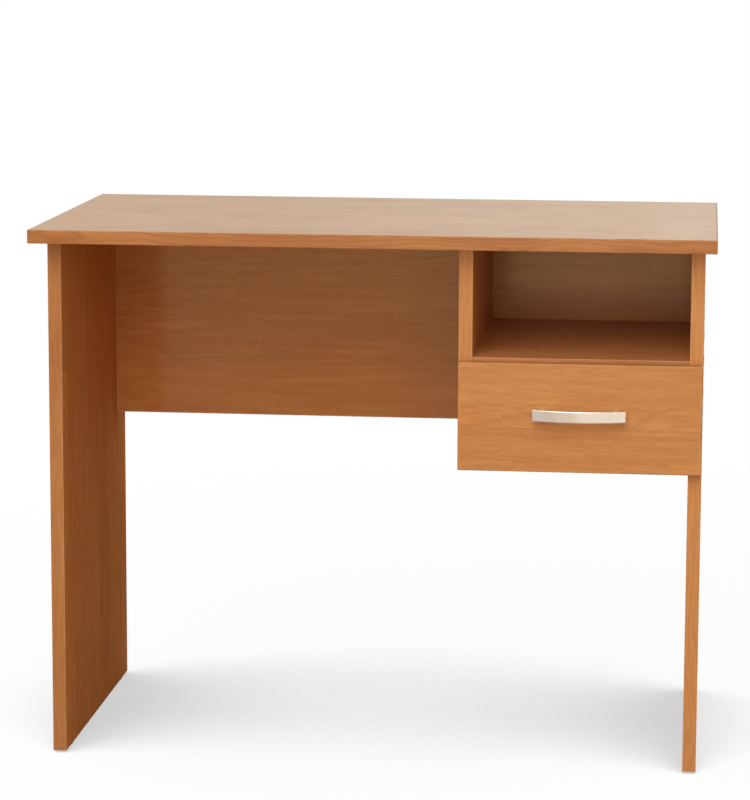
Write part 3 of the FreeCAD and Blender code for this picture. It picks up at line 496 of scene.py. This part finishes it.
white_nylon = mould("white_nylon", (0.83, 0.82, 0.78, 1), (0.76, 0.74, 0.69, 1), 0.36)
for hand in ("left", "right"):
    for carrier in ("wall", "box"):
        dress(hand + "_" + carrier + "_roller", white_nylon)
        dress(hand + "_" + carrier + "_rivet", bright_zinc)

# Drawer box: two sides, a box front and a back of 16 mm printed chipboard, joined by connector screws.
# The upper edges are taped, and the grain lies along each board.

box_board = 0.016
face_board("drawer_left_side", along=DEEP, across=HIGH, through=WIDE, strip_shift=0.21, plank_shift=0.3)
face_board("drawer_right_side", along=DEEP, across=HIGH, through=WIDE, strip_shift=0.05, plank_shift=0.12)
face_board("drawer_box_front", along=WIDE, across=HIGH, through=DEEP, strip_shift=0.11, plank_shift=0.2)
face_board("drawer_back", along=WIDE, across=HIGH, through=DEEP, strip_shift=0.29, plank_shift=0.44)
tape_edge("drawer_box_edging", along=WIDE, across=DEEP, seed=29.0, paleness_with_painted_light=0.3, ease=hand_eased,
          end_strips=(WIDE, box_board, DEEP, WIDE))
dress("box_connectors", bright_zinc)

# Drawer bottom: a sheet of 3 mm hardboard, slid into the box's grooves and screwed up into its back.
# The upper face is smooth and lacquered; the underside keeps the weave of the press screen.

hardboard, tree, shader, coordinates = start_material("hardboard")
place = put(tree, "SeparateXYZ", {0: coordinates["Object"]}).outputs
facing_up = put(tree, "SeparateXYZ", {0: coordinates["Normal"]}).outputs[HIGH]
underside = reckon(tree, "LESS_THAN", facing_up, -0.5)
fibres = speckle(tree, coordinates["Object"], 420.0, 6.0, 0.7)
screen_wires = 4200.0
weave_across = reckon(tree, "SINE", times(tree, place[WIDE], screen_wires))
weave_back = reckon(tree, "SINE", times(tree, place[DEEP], screen_wires))
weave = times(tree, times(tree, weave_across, weave_back), underside)
colour = build_up(
    tree, (0.45, 0.27, 0.14, 1),
    (spread(tree, fibres, 0.35, 0.7), (0.3, 0.165, 0.08, 1)),
    (times(tree, underside, 0.4), (0.22, 0.125, 0.065, 1)))
connect(tree, shader, colour, reckon(tree, "MULTIPLY_ADD", underside, 0.4, 0.36),
        reckon(tree, "MULTIPLY_ADD", weave, 1.5, times(tree, fibres, 0.4)), 0.00008)
dress("drawer_bottom", hardboard)
dress("drawer_bottom_screws", bright_zinc)

# Box rails: the moving halves of the runners, folded under the drawer sides and screwed up into them.
# The front roller carries the running flange, and there the cream coat is rubbed.

box_track = 0.4378
for hand in ("left", "right"):
    coat_rail(hand + "_box_rail", box_track)
    dress(hand + "_box_rail_screws", bright_zinc)

# Drawer front: an 18 mm board that laps over the divider, the shelf's edge and the right side.
# All four edges have the thicker strip with rounded arrises, and screws hold it from inside the box.

face_board("drawer_front", along=WIDE, across=HIGH, through=DEEP, strip_shift=-0.126, plank_shift=0.0,
           gloss=0.26, dullness=0.04)
tape_edge("drawer_front_edging", along=WIDE, across=DEEP, seed=33.0, paleness_with_painted_light=0.5,
          end_strips=(WIDE, thick_strip, HIGH, DEEP))
dress("front_screws", bright_zinc)

# Bow handle: a cast strap bowed between two turned posts, polished along its length and satin nickel plated.
# Two machine screws hold it from inside the box.

satin_nickel, tree, shader, coordinates = start_material("satin_nickel")
place = put(tree, "SeparateXYZ", {0: coordinates["Object"]}).outputs
brushing = mottle(tree, place, (14.0, 900.0, 5200.0), 3.0, 0.6)
handling = speckle(tree, coordinates["Object"], 70.0, 3.0)
colour = lay_over(tree, spread(tree, brushing, 0.35, 0.7), (0.95, 0.94, 0.98, 1), (0.9, 0.89, 0.93, 1))
polish = reckon(tree, "ADD", spread(tree, handling, 0.3, 0.7, 0.2, 0.3), times(tree, brushing, 0.1))
connect(tree, shader, colour, polish, brushing, 0.000004)
shader.inputs["Metallic"].default_value = 1.0
dress("bow_handle", satin_nickel)
dress("handle_screws", bright_zinc)

# Studio: a plain pale floor with the desk's soft shadow mostly painted into its glow, and a white world
# behind it.
# To the glossy boards and the handle they look like a warmer and dimmer room, nowhere brighter than white.
# Two soft lamps stand in front, one at the right and one at the left rear, so that no side is dark.

plain_white = (1, 1, 1, 1)


def seen_white(tree):
    """One for rays that come straight, or by gloss or glass, from the eye."""
    rays = put(tree, "LightPath").outputs
    seen = reckon(tree, "MAXIMUM", rays["Is Camera Ray"], rays["Is Glossy Ray"])
    return reckon(tree, "MAXIMUM", seen, rays["Is Transmission Ray"])


def seen_in_gloss(tree, mirrored):
    """White for the eye, and a colour of its own where a glossy surface mirrors it."""
    return lay_over(tree, put(tree, "LightPath").outputs["Is Glossy Ray"], plain_white, mirrored)


floor_reach = 14.0
floor_corners = [(-floor_reach, -floor_reach, 0), (floor_reach, -floor_reach, 0),
                 (floor_reach, floor_reach, 0), (-floor_reach, floor_reach, 0)]
floor_mesh = bpy.data.meshes.new("floor")
floor_mesh.from_pydata(floor_corners, [], [(0, 1, 2, 3)])
floor = bpy.data.objects.new("floor", floor_mesh)
bpy.context.scene.collection.objects.link(floor)

floor_white = bpy.data.materials.new("floor_white")
floor_white.use_nodes = True
tree = floor_white.node_tree
tree.nodes.remove(tree.nodes["Principled BSDF"])
floor_place = put(tree, "TexCoord").outputs["Object"]
away = put(tree, "VectorMath", {0: floor_place}, operation="LENGTH").outputs["Value"]
across_room = put(tree, "SeparateXYZ", {0: floor_place}).outputs[WIDE]
seen = seen_white(tree)
matt = put(tree, "BsdfDiffuse", {0: lay_over(tree, seen, (0.47, 0.38, 0.28, 1), plain_white)}).outputs[0]
# Painted shadow: the floor's glow is darkened by occlusion, leaned toward the front so the shade lies under
# and behind the desk.
painted_shadow_lean = put(tree, "CombineXYZ", {WIDE: 0.0, DEEP: -0.45, HIGH: 0.9}).outputs[0]
open_sky = put(tree, "AmbientOcclusion", {"Distance": 0.9, "Normal": painted_shadow_lean}).outputs["AO"]
half_way = times(tree, spread(tree, away, 1.4, 2.4), spread(tree, away, 4.2, 3.4))
half_way_right = times(tree, spread(tree, across_room, -0.3, 0.3), half_way)
half_way_left = times(tree, spread(tree, across_room, -0.5, -1.6, 0.0, 0.9), half_way)
mirrored_floor = build_up(
    tree, (0.4, 0.25, 0.1, 1),
    (spread(tree, away, 2.0, 4.625), (1.0, 0.678, 0.273, 1)),
    (spread(tree, across_room, -0.2, -1.4, 0.0, 0.5), (0.5, 0.33, 0.13, 1)),
    (spread(tree, away, 2.0, 1.2), (0.5, 0.47, 0.43, 1)),
    (half_way_right, (1.0, 0.9, 0.745, 1)),
    (half_way_left, (0.56, 0.6, 0.7, 1)))
glow = put(tree, "Emission", {"Color": seen_in_gloss(tree, mirrored_floor),
                              "Strength": spread(tree, open_sky, 0.36, 0.68, 0.6, 1.0)}).outputs[0]
glow_share = times(tree, seen, spread(tree, away, 0.8, 2.4, 0.93, 1.0))
both = put(tree, "MixShader", {0: glow_share, 1: matt, 2: glow}).outputs[0]
tree.links.new(both, tree.nodes["Material Output"].inputs[0])
floor_mesh.materials.append(floor_white)

world = bpy.data.worlds.new("white_room")
world.use_nodes = True
tree = world.node_tree
tree.nodes.clear()
dim = put(tree, "Background", {"Color": plain_white, "Strength": 0.3}).outputs[0]
toward = put(tree, "SeparateXYZ", {0: put(tree, "TexCoord").outputs["Generated"]}).outputs
off_middle = reckon(tree, "ABSOLUTE", reckon(tree, "SUBTRACT", toward[WIDE], 0.03))
mirrored_screen = build_up(
    tree, (0.74, 0.73, 0.63, 1),
    (spread(tree, off_middle, 0.17, 0.0), (1.0, 1.0, 0.88, 1)),
    (spread(tree, toward[DEEP], 0.2, -0.4), (1.0, 0.93, 0.82, 1)))
white = put(tree, "Background", {"Color": seen_in_gloss(tree, mirrored_screen), "Strength": 1.0}).outputs[0]
both = put(tree, "MixShader", {0: seen_white(tree), 1: dim, 2: white}).outputs[0]
tree.links.new(both, put(tree, "OutputWorld").inputs[0])
bpy.context.scene.world = world


def hang_lamp(name, place, aim, size, power, colour, mirrored=False):
    """A square soft lamp, turned to a point, which glossy surfaces mirror or not."""
    lamp = bpy.data.lights.new(name, "AREA")
    lamp.size = size
    lamp.energy = power
    lamp.color = colour
    hung = bpy.data.objects.new(name, lamp)
    hung.location = place
    hung.rotation_euler = (Vector(aim) - Vector(place)).to_track_quat("-Z", "Y").to_euler()
    hung.visible_glossy = mirrored
    bpy.context.scene.collection.objects.link(hung)


hang_lamp("high_lamp", place=(-0.4, -3.5, 3.4), aim=(0.0, 0.0, 0.45), size=3.0, power=88.0,
          colour=(1.0, 0.985, 0.96), mirrored=True)
hang_lamp("front_lamp", place=(0.2, -2.6, 1.1), aim=(0.0, 0.0, 0.45), size=1.8, power=23.0,
          colour=(1.0, 0.99, 0.97))
hang_lamp("right_lamp", place=(4.2, 0.0, 1.0), aim=(0.0, 0.0, 0.5), size=1.2, power=60.0,
          colour=(1.0, 0.97, 0.93))
hang_lamp("rear_lamp", place=(-4.2, 2.8, 1.5), aim=(0.0, 0.0, 0.4), size=1.8, power=165.0,
          colour=(0.97, 0.985, 1.0))

# Camera: a long lens a little right of the middle, at the height of a seated eye.
# It looks a little down on the desktop, with a small shift that frames the desk as the photograph does.

eye = Vector((0.43222, -4.13846, 1.14988))
yaw = math.radians(6.204)
pitch = math.radians(8.606)
roll = math.radians(0.218)
forward = Vector((-math.sin(yaw) * math.cos(pitch), math.cos(yaw) * math.cos(pitch), -math.sin(pitch)))
level = Vector((math.cos(yaw), math.sin(yaw), 0.0))
upward = level.cross(forward)
right = math.cos(roll) * level + math.sin(roll) * upward
up = math.cos(roll) * upward - math.sin(roll) * level
lens = bpy.data.cameras.new("camera")
lens.lens = 136.78
lens.sensor_width = 36.0
lens.shift_y = -0.05
lens.clip_end = 60.0
camera = bpy.data.objects.new("camera", lens)
camera.matrix_world = Matrix((right, up, -forward)).transposed().to_4x4()
camera.location = eye
bpy.context.scene.collection.objects.link(camera)
bpy.context.scene.camera = camera
bpy.context.scene.view_settings.view_transform = "Standard"
